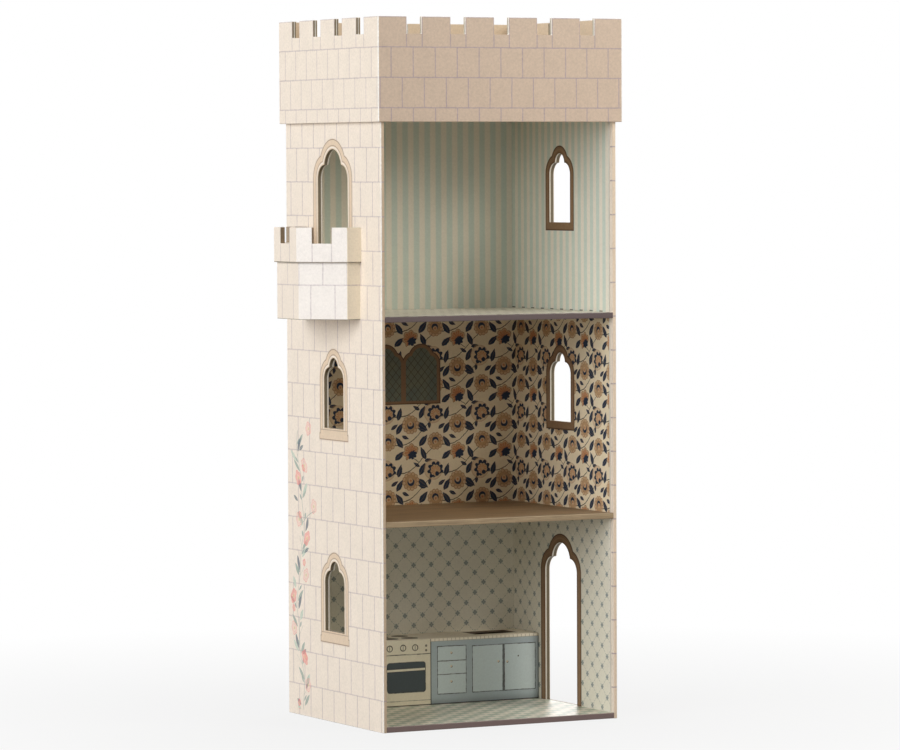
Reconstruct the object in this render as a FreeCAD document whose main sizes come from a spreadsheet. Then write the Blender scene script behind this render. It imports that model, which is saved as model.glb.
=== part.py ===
import FreeCAD, Part

import os

import Sketcher
from FreeCAD import Placement, Rotation, Vector

# A toy castle tower of board and card, 720 mm tall, in millimetres.
# Its open front faces -Y, its balcony -X, and it stands on Z = 0 with the origin under its middle.
# Three rooms are stacked in one folded board shell, under a crenellated parapet.

DRIVING_SIZES = [
    ("tower_width", 270, "outside of the folded shell, left to right"),
    ("tower_depth", 220, "outside of the folded shell, open front to back"),
    ("shell_board", 4, "board of the shell"),
    ("fold_radius", 1.2, "outer corner of a folded board"),
    ("wrap_radius", 0.8, "board edge with the printed paper wrapped round it"),
    ("floor_board", 6, "thickness of each floor and of the roof deck"),
    ("storey_clear", 200.5, "from the top of one floor to the underside of the next"),
    ("lining_card", 1.5, "card that lines each room"),
    ("lining_setback", 5, "the lining stops this far behind the open front"),
    ("crown_board", 5, "board of the parapet, which stands proud of the shell by as much"),
    ("crown_height", 105.6, "parapet from its lower edge to its top"),
    ("crown_skirt", 5.3, "the parapet hangs this far below the roof deck"),
    ("crown_notch_gap", 17.6, "width of a gap in the parapet"),
    ("crown_notch_drop", 17.4, "depth of a gap in the parapet"),
    ("front_notch_count", 5, "gaps across the front and the back"),
    ("side_notch_count", 4, "gaps along each side"),
    ("shell_shoulder", 12, "the shell ends this far below the parapet's gaps"),
    ("window_width", 45, "opening of a window"),
    ("window_height", 72.3, "opening of a window, sill to top"),
    ("window_shoulder", 12.4, "radius of a window's side lobes"),
    ("window_lobe", 10.2, "radius of a window's top lobe"),
    ("window_lobe_rise", 9.8, "top of a window above its side lobes"),
    ("door_width", 69, "opening of a doorway"),
    ("door_height", 168.5, "opening of a doorway, floor to top"),
    ("door_shoulder", 14.6, "radius of a doorway's side lobes"),
    ("door_lobe", 20.2, "radius of a doorway's top lobe"),
    ("door_lobe_rise", 16, "top of a doorway above its side lobes"),
    ("ground_sill", 87, "window sill above the ground floor"),
    ("middle_sill", 89.3, "window sills above the middle floor"),
    ("upper_sill", 91.4, "window sill above the upper floor"),
    ("bay_front_face", 50, "balcony face that is parallel to the wall"),
    ("bay_oblique_run", 37, "run of a 45 degree balcony face, along and out from the wall"),
    ("bay_end_face", 14.3, "balcony face that is square to the wall"),
    ("bay_card", 2, "card of the balcony's folded wall"),
    ("bay_floor_board", 4, "board of the balcony's floor"),
    ("bay_body_height", 57.7, "balcony from its lower edge to its band"),
    ("bay_band_board", 2.8, "board of the band, which stands proud of the wall by as much"),
    ("bay_band_height", 35.5, "band from its lower edge to its top"),
    ("bay_notch_gap", 20.8, "width of a gap in the band"),
    ("bay_notch_drop", 16.2, "depth of a gap in the band"),
    ("kitchen_width", 186, "kitchen unit along the back wall"),
    ("kitchen_depth", 57, "kitchen unit out from the back wall"),
    ("kitchen_height", 69.5, "kitchen unit, floor to worktop"),
    ("kitchen_card", 1.5, "card of the kitchen unit"),
    ("kitchen_fold_radius", 3, "front corners of the kitchen unit"),
    ("sink_width", 43, "sink hole along the worktop"),
    ("sink_depth", 26, "sink hole across the worktop"),
    ("sink_front_margin", 19, "worktop in front of the sink hole"),
    ("sink_side_margin", 20.5, "worktop beside the sink hole"),
]

doc = FreeCAD.newDocument("castle")
sheet = doc.addObject("Spreadsheet::Sheet", "sizes")
for row, (alias, value, note) in enumerate(DRIVING_SIZES, start=1):
    sheet.set("A%d" % row, note)
    sheet.set("B%d" % row, str(value))
    sheet.setAlias("B%d" % row, alias)
doc.recompute()

# A cutting shape reaches this far past what it cuts.
MARGIN = "2"

# Places worked out from the driving sizes, as expressions on the sheet.
HALF_WIDTH = "(sizes.tower_width / 2)"
HALF_DEPTH = "(sizes.tower_depth / 2)"
SHELL_INNER_X = "(%s - sizes.shell_board)" % HALF_WIDTH
SHELL_INNER_Y = "(%s - sizes.shell_board)" % HALF_DEPTH
ROOM_X = "(%s - sizes.lining_card)" % SHELL_INNER_X
ROOM_BACK_Y = "(%s - sizes.lining_card)" % SHELL_INNER_Y
STOREY = "(sizes.floor_board + sizes.storey_clear)"
GROUND_TOP = "sizes.floor_board"
MIDDLE_TOP = "(%s + sizes.floor_board)" % STOREY
UPPER_TOP = "(2 * %s + sizes.floor_board)" % STOREY
DECK_BOTTOM = "(3 * %s)" % STOREY
CROWN_BOTTOM = "(%s - sizes.crown_skirt)" % DECK_BOTTOM
CROWN_TOP = "(%s + sizes.crown_height)" % CROWN_BOTTOM
NOTCH_BOTTOM = "(%s - sizes.crown_notch_drop)" % CROWN_TOP
SHELL_TOP = "(%s - sizes.shell_shoulder)" % NOTCH_BOTTOM
BAY_BOTTOM = "(%s - sizes.bay_floor_board)" % UPPER_TOP
BAY_BAND_BOTTOM = "(%s + sizes.bay_body_height)" % BAY_BOTTOM
BAY_TOP = "(%s + sizes.bay_band_height)" % BAY_BAND_BOTTOM
KITCHEN_LEFT = "(%s - sizes.kitchen_width)" % ROOM_X
KITCHEN_FRONT = "(%s - sizes.kitchen_depth)" % ROOM_BACK_Y

nodes = []


def number(expression):
    """The value of an expression on the sheet."""
    return float(sheet.evalExpression(expression))


def bind(thing, **expressions):
    """Ties properties of an object to the sheet; x, y and z stand for its position."""
    for name, expression in expressions.items():
        path = ".Placement.Base." + name if name in ("x", "y", "z") else name
        thing.setExpression(path, expression)
    return thing


def box(name, x, y, z, length, width, height):
    """A rectangular block with its lowest corner at x, y, z."""
    block = doc.addObject("Part::Box", name)
    return bind(block, x=x, y=y, z=z, Length=length, Width=width, Height=height)


def fuse(name, shapes):
    """Several shapes joined into one."""
    joined = doc.addObject("Part::MultiFuse", name)
    joined.Shapes = shapes
    return joined


def cut(name, base, tools):
    """What is left of a base when the tools are taken out of it."""
    result = doc.addObject("Part::Cut", name)
    result.Base = base
    result.Tool = tools[0] if len(tools) == 1 else fuse(name + "_cutters", tools)
    result.Refine = True
    return result


def node(label, thing):
    """Marks an object as a finished piece, under the name of its file."""
    thing.Label = label
    nodes.append(thing)
    return thing


def plan_board(name, corners, bottom, height, folds=(), fold_radius="sizes.fold_radius"):
    """A board with a closed plan outline, raised from its lower face.

    corners holds expressions (x, y); folds holds the numbers of the corners that are rounded.
    """
    body = doc.addObject("PartDesign::Body", name)
    sketch = body.newObject("Sketcher::SketchObject", name + "_plan")
    plane = [item for item in body.Origin.OriginFeatures if item.Role == "XY_Plane"][0]
    sketch.AttachmentSupport = (plane, [""])
    sketch.MapMode = "FlatFace"
    sketch.setExpression(".AttachmentOffset.Base.z", bottom)
    points = [Vector(number(x), number(y), 0) for x, y in corners]
    for start, end in zip(points, points[1:] + points[:1]):
        sketch.addGeometry(Part.LineSegment(start, end), False)
    for side in range(len(points)):
        following = (side + 1) % len(points)
        sketch.addConstraint(Sketcher.Constraint("Coincident", side, 2, following, 1))
    for side, (x, y) in enumerate(corners):
        for kind, expression, value in (("DistanceX", x, points[side].x), ("DistanceY", y, points[side].y)):
            index = sketch.addConstraint(Sketcher.Constraint(kind, side, 1, value))
            sketch.setExpression("Constraints[%d]" % index, expression)
    pad = body.newObject("PartDesign::Pad", name + "_height")
    pad.Profile = sketch
    pad.setExpression("Length", height)
    doc.recompute()
    if folds:
        round_corners(body, corners, folds, fold_radius)
    return body


def round_edges(body, chosen, radius):
    """Rounds the edges of a body that a test on their two ends picks out."""
    edges = []
    for index, edge in enumerate(body.Shape.Edges, start=1):
        if chosen(edge.Vertexes[0].Point, edge.Vertexes[-1].Point):
            edges.append("Edge%d" % index)
    carrier = body.Tip
    rounding = body.newObject("PartDesign::Fillet", carrier.Name + "_rounded")
    rounding.Base = (carrier, edges)
    rounding.setExpression("Radius", radius)
    doc.recompute()


def round_corners(body, corners, numbers, radius):
    """Rounds the upright edges on some corners of a body's plan."""
    places = [(number(corners[corner][0]), number(corners[corner][1])) for corner in numbers]

    def upright(first, last):
        return any(all(near(point.x, x) and near(point.y, y) for point in (first, last)) for x, y in places)

    round_edges(body, upright, radius)


def near(first, second):
    """Whether two lengths are the same."""
    return abs(first - second) < 1e-6


def folded_u(name, half_width, back, front, thickness, bottom, height):
    """Two side panels and a back panel folded from one board, open towards -Y.

    Returns the board and its plan's corners; the first and fourth are outside at the open front.
    """
    inner_x = "(%s - %s)" % (half_width, thickness)
    inner_back = "(%s - %s)" % (back, thickness)
    corners = [
        ("-" + half_width, front),
        ("-" + half_width, back),
        (half_width, back),
        (half_width, front),
        (inner_x, front),
        (inner_x, inner_back),
        ("-" + inner_x, inner_back),
        ("-" + inner_x, front),
    ]
    return plan_board(name, corners, bottom, height, folds=(1, 2)), corners


def lobed_cutter(name, die, side, sill):
    """A cutting shape for a window or a doorway with a three-lobed head.

    side is -1 for the left wall and 1 for the right; sill is the height of its lower edge.
    """
    reach = "(sizes.shell_board + sizes.lining_card + 2 * %s)" % MARGIN
    past_wall = "(%s + %s)" % (HALF_WIDTH, MARGIN)
    start_x = "-" + past_wall if side < 0 else "%s - %s" % (past_wall, reach)
    half = "(sizes.%s_width / 2)" % die
    neck = "(%s - sizes.%s_shoulder)" % (half, die)
    shoulder_top = "(sizes.%s_height - sizes.%s_lobe_rise)" % (die, die)
    spring = "(%s - sizes.%s_shoulder)" % (shoulder_top, die)
    lobe_centre = "(sizes.%s_height - sizes.%s_lobe)" % (die, die)

    def panel(part, half_span, height):
        return box(name + part, start_x, "-" + half_span, sill, reach, "2 * " + half_span, height)

    def lobe(part, radius, y, height):
        roller = doc.addObject("Part::Cylinder", name + part)
        roller.Placement = Placement(Vector(), Rotation(Vector(0, 1, 0), 90))
        return bind(roller, x=start_x, y=y, z="%s + %s" % (sill, height), Radius=radius, Height=reach)

    return fuse(name, [
        panel("_opening", half, spring),
        panel("_neck", neck, shoulder_top),
        lobe("_near_lobe", "sizes.%s_shoulder" % die, "-" + neck, spring),
        lobe("_far_lobe", "sizes.%s_shoulder" % die, neck, spring),
        lobe("_top_lobe", "sizes.%s_lobe" % die, "0", lobe_centre),
    ])


def bay_corner(offset, number_from_wall, side):
    """A corner of the balcony's plan, moved outwards by an offset; side is -1 towards the front.

    The faces turn 45 degrees at each fold, so a corner moves by the offset times tan(22.5) as well.
    """
    along = "(%s) * tan(22.5)" % offset
    end_y = "(sizes.bay_front_face / 2 + sizes.bay_oblique_run + %s)" % offset
    front_y = "(sizes.bay_front_face / 2 + %s)" % along
    end_x = "(-%s - sizes.bay_end_face - %s)" % (HALF_WIDTH, along)
    front_x = "(-%s - sizes.bay_end_face - sizes.bay_oblique_run - (%s))" % (HALF_WIDTH, offset)
    x, y = (("-" + HALF_WIDTH, end_y), (end_x, end_y), (front_x, front_y))[number_from_wall]
    return (x, "-" + y if side < 0 else y)


def bay_line(offset):
    """The balcony's plan from the front end of its wall round to the back end."""
    towards_front = [bay_corner(offset, step, -1) for step in (0, 1, 2)]
    towards_back = [bay_corner(offset, step, 1) for step in (2, 1, 0)]
    return towards_front + towards_back


def bay_notches(name):
    """Cutting shapes for the three gaps of the balcony, one in the middle of each outer face."""
    out = "(sizes.bay_band_board + %s)" % MARGIN
    reach = "(sizes.bay_card + %s + %s)" % (out, MARGIN)
    gap = "sizes.bay_notch_gap"
    bottom = "%s - sizes.bay_notch_drop" % BAY_TOP
    height = "sizes.bay_notch_drop + %s" % MARGIN
    front_x = "-%s - sizes.bay_end_face - sizes.bay_oblique_run - %s" % (HALF_WIDTH, out)
    notches = [box(name + "_front", front_x, "-%s / 2" % gap, bottom, reach, gap, height)]
    middle_x = "(-%s - sizes.bay_end_face - sizes.bay_oblique_run / 2)" % HALF_WIDTH
    middle_y = "(sizes.bay_front_face / 2 + sizes.bay_oblique_run / 2)"
    for side, end in ((-1, "near"), (1, "far")):
        notch = doc.addObject("Part::Box", "%s_%s" % (name, end))
        notch.Placement = Placement(Vector(), Rotation(Vector(0, 0, 1), -45 * side))
        x = "%s - (%s + %d * %s / 2) * sqrt(0.5)" % (middle_x, out, side, gap)
        y = "%d * %s + (%d * %s - %s / 2) * sqrt(0.5)" % (side, middle_y, side, out, gap)
        notches.append(bind(notch, x=x, y=y, z=bottom, Length=reach, Width=gap, Height=height))
    return notches


# Shell: left wall, back and right wall, folded from one board, with its doorways and windows.
balcony_door = lobed_cutter("balcony_door_cut", "door", -1, UPPER_TOP)
left_middle_window = lobed_cutter("left_middle_window_cut", "window", -1,
                                  "(%s + sizes.middle_sill)" % MIDDLE_TOP)
left_ground_window = lobed_cutter("left_ground_window_cut", "window", -1,
                                  "(%s + sizes.ground_sill)" % GROUND_TOP)
right_upper_window = lobed_cutter("right_upper_window_cut", "window", 1,
                                  "(%s + sizes.upper_sill)" % UPPER_TOP)
right_middle_window = lobed_cutter("right_middle_window_cut", "window", 1,
                                   "(%s + sizes.middle_sill)" % MIDDLE_TOP)
ground_door = lobed_cutter("ground_door_cut", "door", 1, GROUND_TOP)

shell_board, shell_corners = folded_u("shell_board", HALF_WIDTH, HALF_DEPTH, "-" + HALF_DEPTH,
                                      "sizes.shell_board", "0", SHELL_TOP)
round_corners(shell_board, shell_corners, (0, 3, 4, 7), "sizes.wrap_radius")
node("tower_shell", cut("shell_cut_out", shell_board, [
    balcony_door, left_middle_window, left_ground_window,
    right_upper_window, right_middle_window, ground_door,
]))

# Room linings: a folded card in each room, which the floor above rests on.
ROOMS = [
    ("ground", GROUND_TOP, [left_ground_window, ground_door]),
    ("middle", MIDDLE_TOP, [left_middle_window, right_middle_window]),
    ("upper", UPPER_TOP, [balcony_door, right_upper_window]),
]
for room, floor_top, cutters in ROOMS:
    card, _ = folded_u(room + "_card", SHELL_INNER_X, SHELL_INNER_Y,
                       "(-%s + sizes.lining_setback)" % HALF_DEPTH, "sizes.lining_card",
                       floor_top, "sizes.storey_clear")
    node(room + "_room_lining", cut(room + "_card_cut_out", card, cutters))

# Floors and roof deck: flat boards between the shell's walls, flush with its open front.
FLOORS = [
    ("ground_floor", "0"),
    ("middle_floor", STOREY),
    ("upper_floor", "2 * " + STOREY),
    ("roof_deck", DECK_BOTTOM),
]
floor_corners = [("-" + SHELL_INNER_X, "-" + HALF_DEPTH), (SHELL_INNER_X, "-" + HALF_DEPTH),
                 (SHELL_INNER_X, SHELL_INNER_Y), ("-" + SHELL_INNER_X, SHELL_INNER_Y)]


def along_front(first, last):
    front = -number(HALF_DEPTH)
    return near(first.y, front) and near(last.y, front) and near(first.z, last.z)


for name, bottom in FLOORS:
    board = plan_board(name + "_board", floor_corners, bottom, "sizes.floor_board")
    round_edges(board, along_front, "sizes.wrap_radius")
    node(name, board)

# Parapet: a rectangular sleeve of board round the top of the shell, with square gaps.
CROWN_X = "(%s + sizes.crown_board)" % HALF_WIDTH
CROWN_Y = "(%s + sizes.crown_board)" % HALF_DEPTH
crown_corners = [("-" + CROWN_X, "-" + CROWN_Y), (CROWN_X, "-" + CROWN_Y),
                 (CROWN_X, CROWN_Y), ("-" + CROWN_X, CROWN_Y)]
crown_outside = plan_board("crown_outside", crown_corners, CROWN_BOTTOM, "sizes.crown_height",
                           folds=(0, 1, 2, 3))
round_edges(crown_outside, lambda first, last: near(first.z, last.z), "sizes.wrap_radius")
crown_inside = box("crown_inside", "-" + HALF_WIDTH, "-" + HALF_DEPTH, "%s - %s" % (CROWN_BOTTOM, MARGIN),
                   "sizes.tower_width", "sizes.tower_depth", "sizes.crown_height + 2 * %s" % MARGIN)


def crown_notches(name, half_span, count_alias, half_reach, across_front):
    """Evenly spaced cutting shapes that each cut a gap in two opposite sides of the parapet."""
    merlon = "((2 * %s - sizes.%s * sizes.crown_notch_gap) / (sizes.%s + 1))" % (
        half_span, count_alias, count_alias)
    reach = "(2 * (%s + %s))" % (half_reach, MARGIN)
    from_end = "-(%s + %s)" % (half_reach, MARGIN)
    height = "sizes.crown_notch_drop + %s" % MARGIN
    notches = []
    for index in range(int(number("sizes." + count_alias))):
        along = "-%s + %s + %d * (%s + sizes.crown_notch_gap)" % (half_span, merlon, index, merlon)
        place = (along, from_end) if across_front else (from_end, along)
        extent = ("sizes.crown_notch_gap", reach) if across_front else (reach, "sizes.crown_notch_gap")
        notches.append(box("%s_%d" % (name, index + 1), *place, NOTCH_BOTTOM, *extent, height))
    return notches


node("crown_band", cut("crown_cut_out", crown_outside, [
    crown_inside,
    *crown_notches("front_notch", CROWN_X, "front_notch_count", CROWN_Y, True),
    *crown_notches("side_notch", CROWN_Y, "side_notch_count", CROWN_X, False),
]))

# Balcony: a folded wall with a floor inside it and a band round its top, glued to the left wall.
bay_outer = bay_line("0")
bay_inner = bay_line("-sizes.bay_card")
bay_proud = bay_line("sizes.bay_band_board")
BAY_FOLDS = (1, 2, 3, 4)
bay_wall = plan_board("bay_wall", bay_outer + bay_inner[::-1], BAY_BOTTOM,
                      "sizes.bay_body_height + sizes.bay_band_height", folds=BAY_FOLDS)
bay_band = plan_board("bay_band", bay_proud + bay_outer[::-1], BAY_BAND_BOTTOM, "sizes.bay_band_height",
                      folds=BAY_FOLDS)
notches = bay_notches("bay_notch")
node("balcony_body", cut("bay_wall_cut_out", bay_wall, notches))
node("balcony_band", cut("bay_band_cut_out", bay_band, notches))
node("balcony_floor", plan_board("bay_floor", bay_inner, BAY_BOTTOM, "sizes.bay_floor_board"))

# Kitchen unit: a folded card box with an open underside, in the back right corner of the ground room.
kitchen_corners = [
    (KITCHEN_LEFT, ROOM_BACK_Y),
    (KITCHEN_LEFT, KITCHEN_FRONT),
    (ROOM_X, KITCHEN_FRONT),
    (ROOM_X, ROOM_BACK_Y),
]
kitchen_outside = plan_board("kitchen_outside", kitchen_corners, GROUND_TOP, "sizes.kitchen_height",
                             folds=(1, 2), fold_radius="sizes.kitchen_fold_radius")


def along_worktop(first, last):
    front, top = number(KITCHEN_FRONT), number("%s + sizes.kitchen_height" % GROUND_TOP)
    return near(first.y, front) and near(last.y, front) and near(first.z, top) and near(last.z, top)


round_edges(kitchen_outside, along_worktop, "sizes.fold_radius")
kitchen_inside = box("kitchen_inside",
                     KITCHEN_LEFT + " + sizes.kitchen_card",
                     KITCHEN_FRONT + " + sizes.kitchen_card",
                     "%s - %s" % (GROUND_TOP, MARGIN),
                     "sizes.kitchen_width - 2 * sizes.kitchen_card",
                     "sizes.kitchen_depth - 2 * sizes.kitchen_card",
                     "sizes.kitchen_height - sizes.kitchen_card + %s" % MARGIN)
sink_hole = box("sink_hole",
                ROOM_X + " - sizes.sink_side_margin - sizes.sink_width",
                KITCHEN_FRONT + " + sizes.sink_front_margin",
                "%s + sizes.kitchen_height - sizes.kitchen_card - %s" % (GROUND_TOP, MARGIN),
                "sizes.sink_width", "sizes.sink_depth", "sizes.kitchen_card + 2 * %s" % MARGIN)
node("kitchen_unit", cut("kitchen_cut_out", kitchen_outside, [kitchen_inside, sink_hole]))

doc.recompute()

for thing in doc.Objects:
    if "Invalid" in thing.State or "Error" in thing.State:
        raise RuntimeError("%s did not compute: %s" % (thing.Name, thing.State))
for thing in nodes:
    if thing.Shape.isNull() or not thing.Shape.isValid() or len(thing.Shape.Solids) != 1:
        raise RuntimeError("%s is not one sound solid" % thing.Label)

os.makedirs("parts", exist_ok=True)
for thing in nodes:
    thing.Shape.exportStep("parts/%s.step" % thing.Label)
    print("%-20s %9.0f mm3" % (thing.Label, thing.Shape.Volume))
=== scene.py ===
import math

import bpy
from mathutils import Matrix, Vector


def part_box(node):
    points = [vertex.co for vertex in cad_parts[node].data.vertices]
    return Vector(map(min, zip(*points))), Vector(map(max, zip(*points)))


# A toy castle tower of printed board, with three papered rooms, a balcony and a parapet.
# The printing is laid out in millimetres on the frame's own axes: the open front faces -Y.

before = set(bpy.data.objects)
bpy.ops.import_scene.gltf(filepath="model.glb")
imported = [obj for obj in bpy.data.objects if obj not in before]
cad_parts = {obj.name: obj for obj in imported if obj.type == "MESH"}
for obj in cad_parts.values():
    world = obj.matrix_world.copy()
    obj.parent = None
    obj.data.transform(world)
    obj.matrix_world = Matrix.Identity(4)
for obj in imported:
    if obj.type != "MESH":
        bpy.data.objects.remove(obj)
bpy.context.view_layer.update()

MM = 1000


def span(node):
    """Lowest and highest corner of a piece, in millimetres."""
    low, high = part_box(node)
    return low * MM, high * MM


# Places taken from the frame
SHELL_HIGH = span("tower_shell")[1]
HALF_WIDTH = SHELL_HIGH.x
HALF_DEPTH = SHELL_HIGH.y
CROWN_HIGH = span("crown_band")[1]
LINING_LOW, LINING_HIGH = span("middle_room_lining")
BAY_LOW, BAY_HIGH = span("balcony_body")
BAND_LOW, BAND_HIGH = span("balcony_band")
KITCHEN_LOW, KITCHEN_HIGH = span("kitchen_unit")
GROUND_TOP = span("ground_floor")[1].z
MIDDLE_TOP = span("middle_floor")[1].z
UPPER_TOP = span("upper_floor")[1].z
# Thickness of the boards
SHELL_BOARD = 4
FLOOR_BOARD = 6
CROWN_BOARD = 5
LINING_CARD = 1.5


# Shader building


class Wire:
    """An output of a shader node. Arithmetic on it adds Math nodes, and node() adds any other."""

    def __init__(self, socket):
        self.socket = socket
        self.tree = socket.id_data

    def node(self, kind, settings, inputs, output=0):
        """A shader node: its settings first, then the values or links of its sockets."""
        made = self.tree.nodes.new("ShaderNode" + kind)
        for name, value in settings.items():
            setattr(made, name, value)
        for key, value in inputs.items():
            if isinstance(value, Wire):
                self.tree.links.new(value.socket, made.inputs[key])
            else:
                made.inputs[key].default_value = value
        return Wire(made.outputs[output]) if made.outputs else None

    def math(self, operation, *values, clamp=False):
        settings = {"operation": operation, "use_clamp": clamp}
        return self.node("Math", settings, dict(enumerate(values)))

    def __add__(self, other):
        return self.math("ADD", self, other)

    def __sub__(self, other):
        return self.math("SUBTRACT", self, other)

    def __rsub__(self, other):
        return self.math("SUBTRACT", other, self)

    def __mul__(self, other):
        return self.math("MULTIPLY", self, other)

    def __truediv__(self, other):
        return self.math("DIVIDE", self, other)

    def __mod__(self, other):
        return self.math("FLOORED_MODULO", self, other)

    def __abs__(self):
        return self.math("ABSOLUTE", self)

    def __neg__(self):
        return self.math("MULTIPLY", self, -1)

    def __floor__(self):
        return self.math("FLOOR", self)

    __radd__ = __add__
    __rmul__ = __mul__

    def least(self, other):
        return self.math("MINIMUM", self, other)

    def most(self, other):
        return self.math("MAXIMUM", self, other)


# Sockets of the Mix node when it mixes colours
MIX_FACTOR, MIX_UNDER, MIX_OVER, MIX_COLOUR = 0, 6, 7, 2

# A printed edge blurs over this width.
PRINT_BLUR = 0.4
# Where one face ends and the next begins, a colour changes over this width.
CRISP = 0.1
# How far behind an outer face a point still counts as lying on it
FACE_DEPTH = 0.5


def ink(red, green, blue):
    """A printing ink, from its 0 to 255 screen values."""
    levels = []
    for value in (red, green, blue):
        level = value / 255
        levels.append(level / 12.92 if level <= 0.04045 else ((level + 0.055) / 1.055) ** 2.4)
    return (*levels, 1)


def paint(ground, mask, colour):
    """A colour laid over a ground where the mask is 1."""
    inputs = {MIX_FACTOR: mask, MIX_UNDER: ground, MIX_OVER: colour}
    return mask.node("Mix", {"data_type": "RGBA"}, inputs, MIX_COLOUR)


def shade(colour, factor):
    """A colour made lighter or darker by a factor."""
    start = colour if isinstance(colour, Wire) else colour[:3]
    return factor.node("VectorMath", {"operation": "SCALE"}, {0: start, "Scale": factor})


def within(distance, blur=PRINT_BLUR):
    """1 where a distance is negative, and 0 where it is positive, over a soft edge."""
    return distance.math("MULTIPLY_ADD", distance, -1 / blur, 0.5, clamp=True)


def on_face(out, face):
    """1 where a point lies as far out as an outer face, and 0 behind it."""
    return within(face - FACE_DEPTH - out, CRISP)


def stroke(distance, width, blur=PRINT_BLUR):
    """1 on a line drawn where a distance is zero."""
    return within(abs(distance) - width / 2, blur)


def length(across, up):
    """Distance from the origin of a plane."""
    flat = across.node("CombineXYZ", {}, {0: across, 1: up})
    return flat.node("VectorMath", {"operation": "LENGTH"}, {0: flat}, 1)


def polar(across, up):
    """Distance from the origin of a plane, and the angle about it."""
    return length(across, up), up.math("ARCTAN2", up, across)


def cosine(turn):
    return turn.math("COSINE", turn)


def sine(turn):
    return turn.math("SINE", turn)


def nearest(value, pitch):
    """Signed distance to the nearest multiple of a pitch."""
    return value.math("WRAP", value, pitch / 2, -pitch / 2)


def block(across, half_width, up, low, high):
    """Signed distance to the edge of an upright rectangle."""
    middle = (low + high) / 2
    return (abs(across) - half_width).most(abs(up - middle) - (high - low) / 2)


def noise(vector, scale, detail=2.0):
    """Cloudy noise from 0 to 1, with features about 1 / scale across."""
    return vector.node("TexNoise", {}, {"Vector": vector, "Scale": scale, "Detail": detail})


def cut_board(colour, place, contrast=0.4):
    """The fibres of a cut edge of board."""
    return shade(colour, 1 - contrast / 2 + noise(place, 0.8, 3.0) * contrast)


def axes(vector):
    """The x, y and z of a vector."""
    split = vector.node("SeparateXYZ", {}, {0: vector})
    return [Wire(socket) for socket in split.socket.node.outputs]


def new_finish(name):
    """A new material, and where a point of its piece lies, in millimetres."""
    material = bpy.data.materials.new(name)
    material.use_nodes = True
    tree = material.node_tree
    tree.nodes.clear()
    position = Wire(tree.nodes.new("ShaderNodeTexCoord").outputs["Object"])
    settings = {"operation": "SCALE"}
    return material, position.node("VectorMath", settings, {0: position, "Scale": MM})


def close_finish(material, place, colour, tooth=0.05, roughness=0.55, specular=0.45, wear=0.05):
    """Gives a printed colour its paper: speckle, mottle, tooth and sheen."""
    speckle = noise(place, 0.9, 4.0)
    fleck = noise(place, 0.42, 3.0)
    uneven = (speckle - 0.5) * 1.6 + (fleck - 0.5) * 2.4 + (noise(place, 0.05, 3.0) - 0.5)
    colour = shade(colour, 1 + uneven * wear)
    relief = speckle * tooth + noise(place, 2.6, 2.0) * (tooth * 0.4)
    bump = relief.node("Bump", {}, {"Strength": 1.0, "Distance": 1 / MM, "Height": relief})
    inputs = {
        "Base Color": colour,
        "Roughness": roughness + (speckle - 0.5) * 0.16,
        "Specular IOR Level": specular,
        "Normal": bump,
    }
    shader = bump.node("BsdfPrincipled", {}, inputs)
    shader.node("OutputMaterial", {}, {"Surface": shader})
    return material


def dress(node, material):
    """Puts a material on a piece."""
    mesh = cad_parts[node].data
    mesh.materials.clear()
    mesh.materials.append(material)


# Inks
PAPER = ink(240, 227, 212)
# The parapet's front: a darker copy of the paper, as painted shade
CROWN_FRONT_SHADED_PAPER = ink(202, 181, 163)
# Paler copies of the paper on the balcony's oblique faces and ends: painted light
BAY_OBLIQUE_LIT_PAPER = ink(247, 240, 234)
BAY_END_LIT_PAPER = ink(252, 240, 218)
# The paper turned in round the open front, on the right, and on the left the same paper darker as painted
# shade
STRIP_RIGHT = ink(228, 208, 186)
STRIP_LEFT_SHADED = ink(198, 176, 152)
MORTAR = ink(168, 150, 158)
BOARD_CORE = ink(104, 92, 68)
CUT_EDGE = ink(150, 130, 104)
WHITE_CARD = ink(232, 228, 218)
TAN_BOARD = ink(212, 192, 166)
NEAR_WHITE = ink(252, 250, 246)
FRAME_TAN = ink(222, 200, 174)
FRAME_TAN_LINE = ink(158, 130, 106)
FRAME_BROWN = ink(140, 112, 86)
FRAME_BROWN_LIGHT = ink(182, 152, 120)
FRAME_BROWN_LINE = ink(72, 54, 42)


# Openings


class Die:
    """The cutting die of an opening: straight sides, two shoulder lobes and a top lobe."""

    def __init__(self, width, spring, shoulder, lobe, lobe_centre):
        self.half_width = width / 2
        self.spring = spring
        self.shoulder = shoulder
        self.lobe = lobe
        self.lobe_centre = lobe_centre

    def outside(self, along, up):
        """How far a point lies outside the opening."""
        inset = self.half_width - self.shoulder
        shoulder = length(abs(along) - inset, (up - self.spring).most(0)) - self.shoulder
        lobe = length(along, up - self.lobe_centre) - self.lobe
        return shoulder.least(lobe)


# Width, height of the straight sides, radius of the shoulders, radius and height of the top lobe
WINDOW = Die(45, 50.1, 12.4, 10.2, 62.1)
DOOR = Die(69, 137.9, 14.6, 20.2, 148.3)
# Heights of the windows' sills
GROUND_SILL = GROUND_TOP + 87
MIDDLE_SILL = MIDDLE_TOP + 89.3
UPPER_SILL = UPPER_TOP + 91.4

LEFT_OPENINGS = [(WINDOW, GROUND_SILL), (WINDOW, MIDDLE_SILL), (DOOR, UPPER_TOP)]
RIGHT_OPENINGS = [(DOOR, GROUND_TOP), (WINDOW, MIDDLE_SILL), (WINDOW, UPPER_SILL)]

# A window's printed sill, outside in two steps and inside in one: half width, lowest and highest point
OUTSIDE_SILLS = [(31.8, -12.3, -1.2), (33.2, -12.3, -5.2)]
INSIDE_SILL = (30.5, -8.6, 0)
# How far down a window's printed frame runs beside its sill
OUTSIDE_FOOT, INSIDE_FOOT = -6, -8.6


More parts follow.
